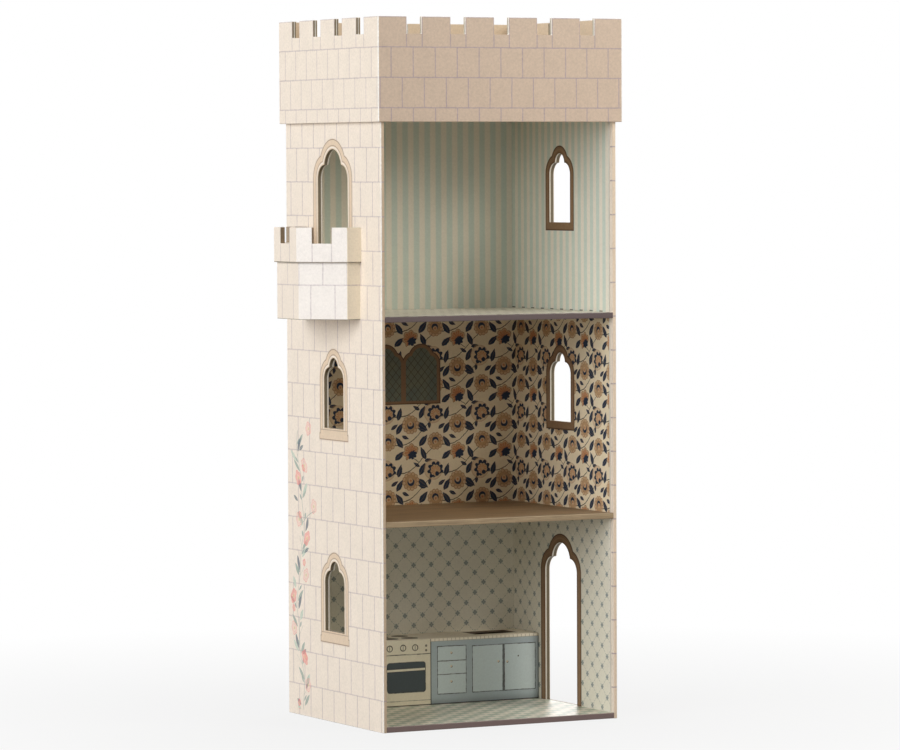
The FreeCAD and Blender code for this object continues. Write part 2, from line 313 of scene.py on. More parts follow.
def outside_frame(ground, die, along, up):
    """A tan stone frame printed round an opening, on the outside of the tower."""
    margin = 9.3 if die is WINDOW else 10.4
    outside = die.outside(along, up)
    edge = outside - margin
    if die is WINDOW:
        edge = edge.most(OUTSIDE_FOOT - up)
        for half_width, low, high in OUTSIDE_SILLS:
            edge = edge.least(block(along, half_width, up, low, high))
    else:
        edge = edge.most(-up)
    shadow = within(edge - 0.6, 2.4) * 0.25
    ground = paint(ground, shadow, FRAME_TAN_LINE)
    ground = paint(ground, within(edge), FRAME_TAN)
    above_sill = within(-1 - up)
    bead = stroke(outside - margin * 0.36, 1.0) * above_sill * 0.75
    ground = paint(ground, bead, FRAME_TAN_LINE)
    light = stroke(outside - margin * 0.18, 1.3, 0.8) * above_sill * 0.6
    ground = paint(ground, light, NEAR_WHITE)
    ground = paint(ground, stroke(edge + 0.5, 1.0) * 0.95, FRAME_TAN_LINE)
    if die is WINDOW:
        ledge = stroke(up + 1.8, 0.9) * within(abs(along) - OUTSIDE_SILLS[0][0] + 0.8) * 0.75
        ground = paint(ground, ledge, FRAME_TAN_LINE)
    return ground


def inside_frame(ground, die, along, up, place):
    """A brown wood frame printed round an opening, on a room's wall."""
    margin = 8 if die is WINDOW else 9.2
    outside = die.outside(along, up)
    edge = outside - margin
    if die is WINDOW:
        half_width, low, high = INSIDE_SILL
        edge = edge.most(INSIDE_FOOT - up)
        edge = edge.least(block(along, half_width, up, low, high))
    else:
        edge = edge.most(-1 - up)
    grain = noise(place, 0.45, 3.0)
    ground = paint(ground, within(edge), shade(FRAME_BROWN, 0.8 + grain * 0.4))
    bevel = stroke(outside - margin * 0.5, 1.6, 1.2) * within(-up) * 0.3
    ground = paint(ground, bevel, FRAME_BROWN_LIGHT)
    ground = paint(ground, stroke(edge + 0.6, 1.1) * 0.8, FRAME_BROWN_LINE)
    inner_line = stroke(outside - 0.7, 0.9) * within(-up) * 0.5
    return paint(ground, inner_line, FRAME_BROWN_LINE)


def openings(ground, frames, along, z, painter):
    """The frames of one wall, each drawn by the painter."""
    for die, sill in frames:
        ground = painter(ground, die, along, z - sill)
    return ground


# Bricks


def waver(place, amount):
    """A hand-drawn waver of a printed line."""
    return (noise(place, 0.12, 2.0) - 0.5) * amount


def brick_joints(along, z, start, rise, brick, even_joint, odd_joint):
    """Distances to the nearest level and upright joint of a wall laid in rows."""
    level = nearest(z - start, rise)
    odd = math.floor((z - start) / rise) % 2
    upright = nearest(along - even_joint + odd * (even_joint - odd_joint), brick)
    return level, upright


# The walls' rows: first joint, rise, brick length, and an upright joint of an even and an odd row
COURSE_START = -2.6
COURSE_RISE = 34.79
BRICK = 27.0
EVEN_JOINT, ODD_JOINT = 3, 17
JOINT_WIDTH = 1.25
# On the side walls the level joints print fainter by this share.
SIDE_FADE = 0.42
# The paper is rubbed pale this far in from its folds, and the pale line is also a painted highlight.
SHELL_FOLD_PALE, CROWN_FOLD_PALE = 0.7, 1.0


def sprigs(aside, z, pitch, start, out):
    """Places beside the stem, one in each length of pitch, on alternate sides."""
    cell = math.floor((z - start) / pitch)
    side = (cell % 2) * 2 - 1
    pick = cell.node("TexWhiteNoise", {"noise_dimensions": "1D"}, {"W": cell + start})
    reach = out + (pick - 0.5) * out * 0.5
    return aside * side - reach, (z - start) % pitch - pitch / 2


VINE_STEM = ink(132, 148, 138)
# How far behind the wall's middle the stem stands, and the heights of its two ends
VINE_PLACE = 80
VINE_BOTTOM, VINE_TOP = 6, 296
# Twigs: pitch and start up the stem, slope, length
TWIG_PITCH, TWIG_START, TWIG_SLOPE, TWIG_LENGTH = 31.0, 12.0, 1.1, 9
# The side shoot: height where it leaves the stem, slope, bend, length
SHOOT_START, SHOOT_SLOPE, SHOOT_BEND, SHOOT_LENGTH = 196, 0.9, 0.011, 34
# Leaf sets: pitch and start up the stem, distance from it, turn in degrees, half length,
# half width, ink
VINE_LEAVES = [
    (27.0, 3.0, 7.0, 52, 8.0, 2.4, ink(134, 154, 144)),
    (41.0, 15.0, 6.0, 66, 8.4, 2.5, ink(52, 74, 94)),
    (33.0, 22.0, 9.5, 48, 8.0, 2.5, ink(186, 200, 184)),
    (19.0, 9.0, 3.6, 55, 3.8, 1.3, ink(118, 142, 138)),
    (53.0, 40.0, 12.0, 30, 5.6, 1.9, ink(78, 100, 108)),
]
# Blossom sets: pitch and start, distance from the stem, size, strength of the fill
VINE_BLOSSOMS = [
    (62.0, 30.0, 8.5, 6.8, 0.65),
    (57.0, 4.0, 11.5, 6.4, 0.2),
    (49.0, 37.0, 10.0, 3.4, 0.55),
]
# Single blossoms: distance behind the wall's middle, height, size, strength of the fill
LONE_BLOSSOMS = [(48, 219, 6.6, 0.2), (60, 299, 6.4, 0.3)]


def vine(ground, y, z):
    """A climbing rose printed up the back edge of the left wall."""
    inside = within(z - VINE_TOP, 1.0) * within(VINE_BOTTOM - z, 1.0)
    # The stem sways in a long wave and a short one.
    sway = cosine(z * 0.034 - 3.8) * 7.5 + sine(z * 0.12) * 1.8
    aside = y - VINE_PLACE - sway
    ground = paint(ground, stroke(aside, 0.8) * inside * 0.7, VINE_STEM)
    # Thin twigs that leave the stem on alternate sides
    across, up = sprigs(aside, z, TWIG_PITCH, TWIG_START, 0)
    half_twig = TWIG_LENGTH / 2
    twig = stroke(up + 6 - across * TWIG_SLOPE, 0.7) * within(abs(across - half_twig) - half_twig, 0.6)
    ground = paint(ground, twig * inside * 0.6, VINE_STEM)
    # A side shoot that reaches towards the ground window
    run = VINE_PLACE - y
    half_shoot = SHOOT_LENGTH / 2
    bow = z - SHOOT_START - run * SHOOT_SLOPE + run * run * SHOOT_BEND
    shoot = stroke(bow, 0.9) * within(abs(run - half_shoot) - half_shoot, 1.0)
    ground = paint(ground, shoot * 0.7, VINE_STEM)
    wall_place = y.node("CombineXYZ", {}, {1: y, 2: z})
    tone = 0.85 + noise(wall_place, 0.5, 2.0) * 0.35
    for pitch, start, out, turn, half_length, half_width, colour in VINE_LEAVES:
        across, up = sprigs(aside, z, pitch, start, out)
        tilt = math.radians(turn)
        along = across * math.cos(tilt) + up * math.sin(tilt)
        off = up * math.cos(tilt) - across * math.sin(tilt)
        blade = abs(off) - (1 - along * along / (half_length * half_length)) * half_width
        ground = paint(ground, within(blade) * inside * 0.85, shade(colour, tone))
        ground = paint(ground, stroke(off, 0.4) * within(blade + 0.6) * inside * 0.4, PAPER)
    for pitch, start, out, size, fill in VINE_BLOSSOMS:
        across, up = sprigs(aside, z, pitch, start, out)
        ground = blossom(ground, across, up, size, inside, fill)
    for centre_y, centre_z, size, fill in LONE_BLOSSOMS:
        ground = blossom(ground, y - centre_y, z - centre_z, size, 1, fill)
    return ground


def blossom(ground, across, up, size, where, fill):
    """A coral flower with overlapping petals and a straw heart; a low fill leaves it line-drawn."""
    radius = length(across, up * 0.85)
    angle = up.math("ARCTAN2", up, across)
    petal = abs(cosine(angle * 2.5))
    rim = petal * size * 0.22 + size * 0.78
    streak = sine(angle * 19 + radius * 0.8)
    coral = paint(ink(240, 158, 146), within(0.1 - streak, 0.8) * 0.5, ink(226, 116, 112))
    coral = paint(coral, within(radius - rim * 0.5, 1.4) * 0.5, ink(248, 204, 190))
    ground = paint(ground, within(radius - rim, 0.8) * where * fill, coral)
    outline = stroke(radius - rim + 0.3, 0.6).most(stroke(radius - rim * 0.58, 0.5) * 0.6)
    ground = paint(ground, outline * where * 0.65, ink(224, 118, 112))
    return paint(ground, within(radius - size * 0.2, 0.8) * where * 0.8, ink(212, 196, 128))


def tower_shell_finish():
    """Brick paper outside, turned in round the open front, over a brown board core."""
    material, place = new_finish("brick_print_shell")
    x, y, z = axes(place)
    wave = waver(place, 1.0)
    side = on_face(abs(x), HALF_WIDTH)
    along = x + side * (y - x)
    level, upright = brick_joints(
        along + wave, z + wave, COURSE_START, COURSE_RISE, BRICK, EVEN_JOINT, ODD_JOINT
    )
    faint = 0.75 + (noise(place, 0.3) - 0.5) * 0.8
    outer = side.most(on_face(y, HALF_DEPTH))
    # On the left the turned-in strip is painted darker, as painted shade.
    strip = paint(STRIP_RIGHT, within(x), STRIP_LEFT_SHADED)
    ground = paint(PAPER, on_face(-y, HALF_DEPTH), strip)
    colour = paint(ground, stroke(level, JOINT_WIDTH) * faint * (1 - side * SIDE_FADE), MORTAR)
    colour = paint(colour, stroke(upright, JOINT_WIDTH) * faint * outer * 0.85, MORTAR)
    left_wall = openings(vine(colour, y, z), LEFT_OPENINGS, y, z, outside_frame)
    right_wall = openings(colour, RIGHT_OPENINGS, y, z, outside_frame)
    colour = paint(colour, on_face(-x, HALF_WIDTH), left_wall)
    colour = paint(colour, on_face(x, HALF_WIDTH), right_wall)
    # The paper is rubbed pale along its folds, at the open front and at the back, and the pale line is
    # also a painted highlight of the rounded fold.
    folds = within(HALF_DEPTH - SHELL_FOLD_PALE - abs(y), 0.5) * within(HALF_WIDTH - SHELL_FOLD_PALE - abs(x), 0.5)
    colour = paint(colour, folds * (0.35 + noise(place, 0.5, 3.0)), NEAR_WHITE)
    # Cut faces of the openings show the board. They all lie well inside the wall's two edges.
    clear_of_edges = 12
    thick = (1 - side) * within(HALF_WIDTH - SHELL_BOARD + 0.3 - abs(x), CRISP)
    reveal = thick * within(abs(y) - HALF_DEPTH + clear_of_edges, 0.5)
    fibre = cut_board(BOARD_CORE, place)
    colour = paint(colour, reveal, fibre)
    hidden = within(z - 0.2, CRISP).most(within(SHELL_HIGH.z - 0.3 - z, CRISP))
    colour = paint(colour, hidden, fibre)
    return close_finish(material, place, colour, roughness=0.46, specular=0.55, wear=0.11)


# Parapet

# Its rows: first joint, rise, brick length, and how far the front's and the sides' bricks are shifted
CROWN_START = 628.3
CROWN_RISE = 30.4
CROWN_BRICK = 24.9
CROWN_FRONT_SHIFT, CROWN_SIDE_SHIFT = -1, -0.2
# Its gaps: width, number on the front and on a side, depth
CROWN_GAP = 17.6
FRONT_GAPS, SIDE_GAPS = 5, 4
NOTCH_DROP = 17.4


def gap_centre(along, half, count):
    """Signed distance to the middle of the nearest gap of a crenellated edge."""
    pitch = (2 * half + CROWN_GAP) / (count + 1)
    shift = 0 if count % 2 else pitch / 2
    return nearest(along - shift, pitch)


def crown_cut(through, face, along, end):
    """1 inside the board of one wall of the parapet, away from its corners."""
    inner = 1 - within(face - 0.4 - abs(through), CRISP)
    outer = within(face - CROWN_BOARD + 0.4 - abs(through), CRISP)
    return inner * outer * within(abs(along) - end + CROWN_BOARD + 1, 0.5)


def crown_finish():
    """Smaller bricks round the parapet, with a joint under each side of its gaps."""
    material, place = new_finish("brick_print_parapet")
    x, y, z = axes(place)
    half_x, half_y = CROWN_HIGH.x, CROWN_HIGH.y
    wave = waver(place, 1.0)
    side = on_face(abs(x), half_x)
    along = x + side * (y - x)
    shift = CROWN_FRONT_SHIFT + side * (CROWN_SIDE_SHIFT - CROWN_FRONT_SHIFT)
    half = CROWN_BRICK / 2
    level, upright = brick_joints(
        along + wave - shift, z + wave, CROWN_START, CROWN_RISE, CROWN_BRICK, half, 0
    )
    across_front = gap_centre(x, half_x, FRONT_GAPS)
    across_side = gap_centre(y, half_y, SIDE_GAPS)
    across = across_front + side * (across_side - across_front)
    under_gap = abs(abs(across) - CROWN_GAP / 2)
    top_row = within(CROWN_START + 2 * CROWN_RISE - z, CRISP)
    upright = abs(upright) + top_row * (under_gap - abs(upright))
    outer = side.most(on_face(abs(y), half_y))
    faint = 0.8 + (noise(place, 0.3) - 0.5) * 0.8
    # The parapet's front is painted darker than its sides and back, as painted shade.
    ground = paint(CROWN_FRONT_SHADED_PAPER, side.most(within(-y)), PAPER)
    colour = paint(ground, stroke(level, JOINT_WIDTH) * faint * (1 - side * SIDE_FADE), MORTAR)
    colour = paint(colour, stroke(upright, JOINT_WIDTH) * faint * (1 - side * 0.4), MORTAR)
    colour = paint(TAN_BOARD, outer, colour)
    # Folded corners are rubbed white, and the white is also a painted highlight of the rounded fold.
    corner = within(half_x - CROWN_FOLD_PALE - abs(x), 0.5) * within(half_y - CROWN_FOLD_PALE - abs(y), 0.5)
    colour = paint(colour, corner * (0.4 + noise(place, 0.5, 3.0)), NEAR_WHITE)
    # Cut sides of the gaps: bare board on the long sides, papered on the front and back
    notch_bottom = CROWN_HIGH.z - NOTCH_DROP
    cut_side = crown_cut(x, half_x, y, half_y)
    cut_front = crown_cut(y, half_y, x, half_x)
    in_gap = within(notch_bottom - z, 0.2)
    top = within(CROWN_HIGH.z - 0.4 - z, 0.2)
    fibre = cut_board(BOARD_CORE, place, 0.3)
    colour = paint(colour, cut_side * in_gap * (1 - top), fibre)
    # A pale paper edge runs down the middle of the doubled board.
    ply = stroke(abs(x) - half_x + CROWN_BOARD * 0.55, 0.7) * cut_side * in_gap
    colour = paint(colour, ply * 0.8, NEAR_WHITE)
    colour = paint(colour, cut_front * in_gap * (1 - top), WHITE_CARD)
    seam = stroke(abs(y) - half_y + CROWN_BOARD * 0.75, 1.0) * cut_front * in_gap
    colour = paint(colour, seam * 0.8, fibre)
    sill = stroke(z - notch_bottom, 0.8, 0.2) * cut_side.most(cut_front)
    colour = paint(colour, sill.most(top * 0.5), NEAR_WHITE)
    return close_finish(material, place, colour, roughness=0.46, specular=0.5, wear=0.13)


# Balcony

# Half width of the front face, and half the turn of its folds, in degrees
BAY_FRONT_HALF = 25
BAY_HALF_TURN = 22.5
# Height of the level joint, and how far from a face's middle the two joints below it stand
BAY_COURSE = 450
BAY_JOINT = 13
BAY_GAP = 20.8
BAY_NOTCH_BOTTOM = 492


def bay_along(x, y, low, high):
    """Distance from the middle of the balcony's face a point is on, then 1 on its front, 1 at its ends."""
    proud = high.y - BAY_HIGH.y
    half_front = BAY_FRONT_HALF + proud * math.tan(math.radians(BAY_HALF_TURN))
    cut = high.y - half_front
    oblique_x = low.x + cut / 2
    oblique_y = half_front + cut / 2
    oblique = ((x - oblique_x) + (abs(y) - oblique_y)) * -math.sqrt(0.5)
    front = within(abs(y) - half_front, CRISP)
    end = within(high.y - 0.3 - abs(y), CRISP)
    along = oblique + front * (y - oblique)
    return along, front, end


def bay_paper_with_painted_light(front, end):
    """The balcony's paper, paler on its oblique faces as a painted highlight and at its ends as painted
    light.
    """
    return paint(paint(BAY_OBLIQUE_LIT_PAPER, front, PAPER), end, BAY_END_LIT_PAPER)


def bay_cuts(colour, place, along, z):
    """Bare board on the cut sides of the balcony's gaps."""
    in_gap = within(BAY_NOTCH_BOTTOM - 0.1 - z, CRISP)
    edge = within(abs(abs(along) - BAY_GAP / 2) - 0.2, CRISP) * in_gap
    return paint(colour, edge, cut_board(CUT_EDGE, place))


def balcony_body_finish():
    """The balcony's wall: one course line, one joint above it and two below on each face."""
    material, place = new_finish("brick_print_balcony")
    x, y, z = axes(place)
    wave = waver(place, 0.8)
    along, front, end = bay_along(x, y, BAY_LOW, BAY_HIGH)
    faint = 0.42 + (noise(place, 0.3) - 0.5) * 0.6
    level = stroke(z + wave - BAY_COURSE, JOINT_WIDTH) * within(z - BAND_LOW.z, CRISP)
    upper = within(BAY_COURSE - z, CRISP)
    two = abs(abs(along + wave) - BAY_JOINT)
    joint = two + upper * (abs(along + wave) - two)
    colour = paint(bay_paper_with_painted_light(front, end), level * faint, MORTAR)
    colour = paint(colour, stroke(joint, JOINT_WIDTH) * faint * (1 - end), MORTAR)
    fold = stroke(abs(along) - BAY_FRONT_HALF - 0.6, JOINT_WIDTH) * upper * faint * (1 - end)
    colour = paint(colour, fold * 0.7, MORTAR)
    foot = within(z - BAY_LOW.z - 0.5, 0.3)
    colour = paint(colour, foot, cut_board(BOARD_CORE, place, 0.3))
    colour = bay_cuts(colour, place, along, z)
    return close_finish(material, place, colour, roughness=0.42, specular=0.6, wear=0.09)


def balcony_band_finish():
    """The balcony's crenellated band, with a joint under each side of its gaps."""
    material, place = new_finish("brick_print_band")
    x, y, z = axes(place)
    wave = waver(place, 0.8)
    along, front, end = bay_along(x, y, BAND_LOW, BAND_HIGH)
    faint = 0.42 + (noise(place, 0.3) - 0.5) * 0.6
    joint = abs(along + wave) - BAY_GAP / 2
    ground = bay_paper_with_painted_light(front, end)
    colour = paint(ground, stroke(joint, JOINT_WIDTH) * faint * (1 - end), MORTAR)
    # A dark line along the band's lower edge: the board's cut edge, and painted shadow along it.
    foot = within(z - BAND_LOW.z - 0.8, 0.4)
    colour = paint(colour, foot, cut_board(BOARD_CORE, place, 0.3))
    colour = bay_cuts(colour, place, along, z)
    return close_finish(material, place, colour, roughness=0.42, specular=0.6, wear=0.09)


# Wallpapers


def lining_finish(name, pattern, left, right):
    """A room's card: wallpaper inside, frames printed round its openings, white cut edges."""
    material, place = new_finish(name)
    x, y, z = axes(place)
    room_half = LINING_HIGH.x - LINING_CARD
    room_back = LINING_HIGH.y - LINING_CARD
    side = within(room_half - 0.3 - abs(x), CRISP)
    # Along the walls, unrolled: the back wall runs on into the right wall, and into the left one.
    turned = x.math("SIGN", x) * (room_half + (room_back - y))
    along = x + side * (turned - x)
    colour = pattern(place, along, z, side)
    on_left = side * within(x, CRISP)
    on_right = side * within(-x, CRISP)

    def painter(ground, die, across, up):
        return inside_frame(ground, die, across, up, place)

    colour = paint(colour, on_left, openings(colour, [left], y, z, painter))
    colour = paint(colour, on_right, openings(colour, [right], y, z, painter))
    behind = within(room_half + 0.3 - abs(x), CRISP)
    front = within(y - LINING_LOW.y - 0.3, CRISP)
    colour = paint(colour, behind.most(front), WHITE_CARD)
    return close_finish(material, place, colour, tooth=0.035, roughness=0.6, specular=0.12, wear=0.07)


# The upper floor's tiles: size, ink of the small diamonds at their corners
FLOOR_TILE = 21.06
TILE_DIAMOND = ink(70, 62, 54)


def striped_pattern(place, along, z, side):
    """Blue-green and beige stripes, with the floor's diamonds running up the side walls' foot."""
    stripe, first_stripe = 13.07, 1.7
    soft = abs(nearest(along - first_stripe + waver(place, 0.5), stripe))
    green = within(soft - stripe / 4, 1.4)
    paper = paint(ink(235, 230, 216), green, ink(209, 219, 209))
    first_mark, half_mark, mark_height = 237.5, 3.4, 1.2
    mark = within(abs(nearest(along - first_mark, FLOOR_TILE)) - half_mark) * side
    mark = mark * within(z - UPPER_TOP - mark_height)
    return paint(paper, mark * 0.8, TILE_DIAMOND)


def dashed(line, along, dash=0.25):
    """A thin line broken into dashes."""
    return stroke(line, 0.6) * within(abs(nearest(along, dash)) - dash * 0.34, 0.04)


def trellis_pattern(place, along, z, side):
    """A diamond trellis of thin lines with a four-lobed floret at each crossing."""
    wide, tall = 20.9, 21.3
    start, side_start, bottom = 9.3, 9.6, -1.0
    across = (along - start - side * side_start) / wide
    up = (z - bottom) / tall
    rising = nearest(across + up, 1.0)
    falling = nearest(across - up, 1.0)
    slant = math.sqrt(0.5) * wide
    lines = dashed(rising * slant, across - up).most(dashed(falling * slant, across + up))
    pressed = 0.35 + noise(place, 0.35, 3.0) * 0.5
    colour = paint(ink(237, 232, 216), lines * pressed, ink(132, 146, 140))
    side_off = abs((rising + falling) * (wide / 2))
    rise_off = abs((rising - falling) * (tall / 2))
    lobe_out, lobe_up, lobe = 1.55, 1.65, 1.15
    lobes = length(side_off - lobe_out, rise_off).least(length(side_off, rise_off - lobe_up)) - lobe
    return paint(colour, within(lobes) * 0.76, ink(112, 129, 133))


# The flowered paper's repeat, and where it starts on the back wall
TILE_WIDE, TILE_TALL = 56.0, 60.0
FLORAL_START_ALONG, FLORAL_START_UP = 7, 11
NAVY = ink(46, 58, 78)
CREAM = ink(241, 227, 198)
TAN_PETAL = ink(196, 160, 122)
PALE_PETAL = ink(214, 184, 146)
ORANGE_PETAL = ink(196, 138, 98)
RUST_LINE = ink(140, 92, 64)
STEM = ink(78, 72, 64)


def motif_place(wall, u, v, turn):
    """The plane of one motif, repeated over the paper and turned."""
    settings = {"operation": "SUBTRACT"}
    moved = wall.node("VectorMath", settings, {0: wall, 1: (u, v, 0)})
    high = (TILE_WIDE / 2, TILE_TALL / 2, 1)
    low = (-TILE_WIDE / 2, -TILE_TALL / 2, -1)
    wrapped = moved.node("VectorMath", {"operation": "WRAP"}, {0: moved, 1: high, 2: low})
    settings = {"rotation_type": "Z_AXIS"}
    inputs = {"Vector": wrapped, "Center": (0, 0, 0), "Angle": -math.radians(turn)}
    across, up, _ = axes(wrapped.node("VectorRotate", settings, inputs))
    return across, up


def stalk(ground, across, up, size):
    """A bent stalk below a flower."""
    line = stroke(across - up * up * 0.02 + 1.6, 0.8) * within(abs(up + size + 3) - 3.5)
    return paint(ground, line * 0.85, STEM)


def rosette(ground, across, up, size):
    """A round tan flower of two scalloped rings with a navy crescent round its heart."""
    radius, angle = polar(across, up)
    scallop = abs(cosine(angle * 6))
    rim = scallop * size * 0.1 + size * 0.9
    ground = paint(ground, within(radius - rim), PALE_PETAL)
    ground = paint(ground, stroke(radius - rim + 0.4, 0.6) * 0.6, RUST_LINE)
    veins = cosine(angle * 12)
    ring = within(radius - rim * 0.92) * within(size * 0.66 - radius)
    ground = paint(ground, within(veins + 0.7, 0.4) * ring * 0.5, RUST_LINE)
    inner = size * 0.72 - scallop * size * 0.08
    ground = paint(ground, within(radius - inner), TAN_PETAL)
    ground = paint(ground, stroke(radius - inner, 0.5) * 0.5, RUST_LINE)
    ground = paint(ground, within(length(across, up + size * 0.08) - size * 0.4), NAVY)
    heart = length(across, up - size * 0.08)
    ground = paint(ground, within(heart - size * 0.27), PALE_PETAL)
    return paint(ground, within(heart - size * 0.13), ORANGE_PETAL)


def pinwheel(ground, across, up, size):
    """A striped tan flower in a ring of navy petals open at the foot, over a pale halo."""
    radius, angle = polar(across, up)
    wave = abs(cosine(angle * 4.5))
    halo = length(across + size * 0.2, up - size * 0.2) - size * 1.12
    ground = paint(ground, within(halo) * 0.55, PALE_PETAL)
    ground = paint(ground, stroke(halo + 0.5, 0.6) * 0.3, RUST_LINE)
    petals = (radius - (size * 0.72 + wave * size * 0.28)).most(-up - size * 0.6)
    ground = paint(ground, within(petals), NAVY)
    ground = paint(ground, within(radius - (size * 0.54 + wave * size * 0.08)), PALE_PETAL)
    streak = cosine(angle * 12)
    ring = within(radius - size * 0.52) * within(size * 0.16 - radius)
    ground = paint(ground, within(-streak, 0.6) * ring * 0.8, ORANGE_PETAL)
    foot = length(across, up + size * 0.42) - size * 0.24
    return paint(ground, within(foot), NAVY)


def poppy(ground, across, up, size):
    """A tan flower seen from the side, with a scalloped navy crown against its foot."""
    ground = stalk(ground, across, up, size * 0.7)
    radius, angle = polar(across, up)
    wave = abs(cosine(angle * 3.5))
    rim = size * 0.8 + wave * size * 0.2
    fan = (radius - rim).most(-up - size * 0.4)
    ground = paint(ground, within(fan), PALE_PETAL)
    ground = paint(ground, within(radius - rim * 0.8) * within(fan), ORANGE_PETAL)
    ground = paint(ground, stroke(fan + 0.4, 0.8) * 0.6, RUST_LINE)
    veins = sine(angle * 14)
    ring = within(radius - rim * 0.9) * within(size * 0.4 - radius) * within(fan)
    ground = paint(ground, within(0.4 - veins, 0.5) * ring * 0.6, PALE_PETAL)
    scallop = abs(cosine(angle * 5))
    cup = length(across * 0.8, up + size * 0.3) - size * 0.34 - scallop * size * 0.14
    return paint(ground, within(cup), NAVY)


def leaf(ground, across, up, size):
    """A navy leaf with a pale midrib, fuller towards its foot."""
    run = across / size
    foot = (1 - run * 0.35).most(0.5)
    blade = abs(up) - (1 - run * run) * foot * (size * 0.4)
    ground = paint(ground, within(blade), NAVY)
    return paint(ground, stroke(up, 0.35) * within(blade + 0.9) * 0.35, TAN_PETAL)


# Motif, place along and up the repeat, turn in degrees, size
FLORAL_MOTIFS = [
    (leaf, 27.5, 21, 62, 7.6),
    (leaf, 28.5, 37.5, 114, 7.4),
    (leaf, 0.5, 19.5, 74, 7.2),
    (leaf, 28, 5.5, -36, 7.6),
    (leaf, 56.5, 35.5, 40, 7.4),
    (leaf, 28.5, 51, 52, 7.8),
    (leaf, 0, 49.5, 126, 7.4),
    (leaf, 27, 62.5, 166, 5.4),
    (leaf, 0.5, 4, 58, 7.2),
    (leaf, 34.5, 30, 8, 4.6),
    (leaf, 7.5, 54.5, -24, 4.6),
    (leaf, 50.5, 66, 34, 5.0),
    (leaf, 20.5, 25.5, 150, 4.4),
    (leaf, 36, 8, 84, 4.4),
    (rosette, 13.5, 8, 12, 10.2),
    (pinwheel, 43, 19, 28, 9.8),
    (poppy, 14, 38.5, 34, 9.8),
    (rosette, 43, 50, 196, 9.6),
]


def floral_pattern(place, along, z, side):
    """Trailing stems with round flowers in their bends and navy leaves, on cream."""
    start = {0: along + FLORAL_START_ALONG, 1: z + FLORAL_START_UP}
    wall = along.node("CombineXYZ", {}, start)
    rough = wall.node("VectorMath", {"operation": "ADD"}, {0: wall, 1: rough_edge(place)})
    u, v, _ = axes(rough)
    stem_rise = TILE_TALL / 2
    bend_start, bend, stem_start = 13, 4.5, 17
    swing = cosine((u - bend_start) * (2 * math.pi / TILE_WIDE)) * bend - u * (stem_rise / TILE_WIDE)
    stems = stroke(nearest(v + swing - stem_start, stem_rise), 1.0)
    colour = paint(CREAM, stems, STEM)
    for motif, along_tile, up_tile, turned, size in FLORAL_MOTIFS:
        across, up = motif_place(rough, along_tile, up_tile, turned)
        colour = motif(colour, across, up, size)
    # A leaded double window is printed on the back wall.
    return paint(colour, 1 - side, leaded_window(colour, place, along, z))


def rough_edge(place):
    """A small shift that keeps drawn outlines from being perfect."""
    cloud = place.node("TexNoise", {}, {"Vector": place, "Scale": 0.35, "Detail": 2.0}, 1)
    reach = 0.7
    inputs = {0: cloud, 1: (2 * reach, 2 * reach, 0), 2: (-reach, -reach, 0)}
    return cloud.node("VectorMath", {"operation": "MULTIPLY_ADD"}, inputs)


def leaded_window(ground, place, along, z):
    """Two arched lights of leaded glass in a brown frame, printed on the back wall."""
    mullion, sill, sill_height, frame_half, frame_margin = -1.6, 318.6, 5, 43.4, 4.2
    glass_low, glass_shoulder, glass_half, glass_centre = 322, 361, 18.4, 21.2
    shoulder, arch_rise, arch = 9, 6, 11.2
    across = along - mullion
    light = abs(across) - glass_centre
    straight = abs(light) - (glass_half - shoulder)
    round_top = length(straight.most(0), (z - glass_shoulder).most(0)) - shoulder
    crown = length(light, z - (glass_shoulder + arch_rise)) - arch
    glass = round_top.least(crown).most(glass_low - z)
    edge = (glass - frame_margin).most(sill - z)
    edge = edge.least(block(across, frame_half, z, sill, sill + sill_height))
    grain = noise(place, 0.45, 3.0)
    colour = paint(ground, within(edge), shade(FRAME_BROWN, 0.82 + grain * 0.36))
    colour = paint(colour, stroke(edge + 0.5, 0.9) * 0.7, FRAME_BROWN_LINE)
    colour = paint(colour, within(glass), ink(122, 126, 108))
    cloudy = noise(place, 0.07, 3.0)
    colour = paint(colour, within(glass) * (cloudy - 0.25) * 1.4, ink(96, 110, 108))
    lattice, slope = 9.4, 1.15
    rising = nearest(light * slope + z, lattice)
    falling = nearest(light * slope - z, lattice)
    leads = stroke(rising, 0.7).most(stroke(falling, 0.7))
    return paint(colour, leads * within(glass) * 0.9, ink(72, 54, 36))


# Floors

UPPER_PLUM = ink(80, 63, 63)
GROUND_PLUM = ink(112, 92, 89)


def floor_edge(colour, y, edge):
    """Gives a floor the colour of its front edge."""
    return paint(colour, on_face(-y, HALF_DEPTH), edge)


def ground_floor_finish():
    """Grey-green and cream squares, with a plum front edge."""
    material, place = new_finish("pale_check_print")
    x, y, _ = axes(place)
    square = 12.0
    light_x, light_y = 2.9, 7.5
    in_column = within(abs(nearest(x - light_x, square * 2)) - square / 2)
    in_row = within(abs(nearest(y - light_y, square * 2)) - square / 2)
    dark = abs(in_column - in_row)
    colour = paint(ink(238, 233, 218), dark, ink(178, 188, 170))
    colour = floor_edge(colour, y, GROUND_PLUM)
    return close_finish(material, place, colour, tooth=0.02, roughness=0.34, specular=0.6, wear=0.08)


def upper_floor_finish():
    """Pale tiles with a small dark diamond at each corner, with a plum front edge."""
    material, place = new_finish("pale_tile_print")
    x, y, _ = axes(place)
    corner_x, corner_y, half_diamond = 126, -2.1, 3.6
    across = nearest(x - corner_x, FLOOR_TILE)
    back = nearest(y - corner_y, FLOOR_TILE)
    seam = stroke(across, 0.5).most(stroke(back, 0.5))
    colour = paint(ink(240, 236, 222), seam * 0.45, ink(150, 148, 134))
    diamond = abs(across) + abs(back) - half_diamond
    colour = paint(colour, within(diamond), TILE_DIAMOND)
    colour = floor_edge(colour, y, UPPER_PLUM)
    return close_finish(material, place, colour, tooth=0.02, roughness=0.34, specular=0.6, wear=0.06)


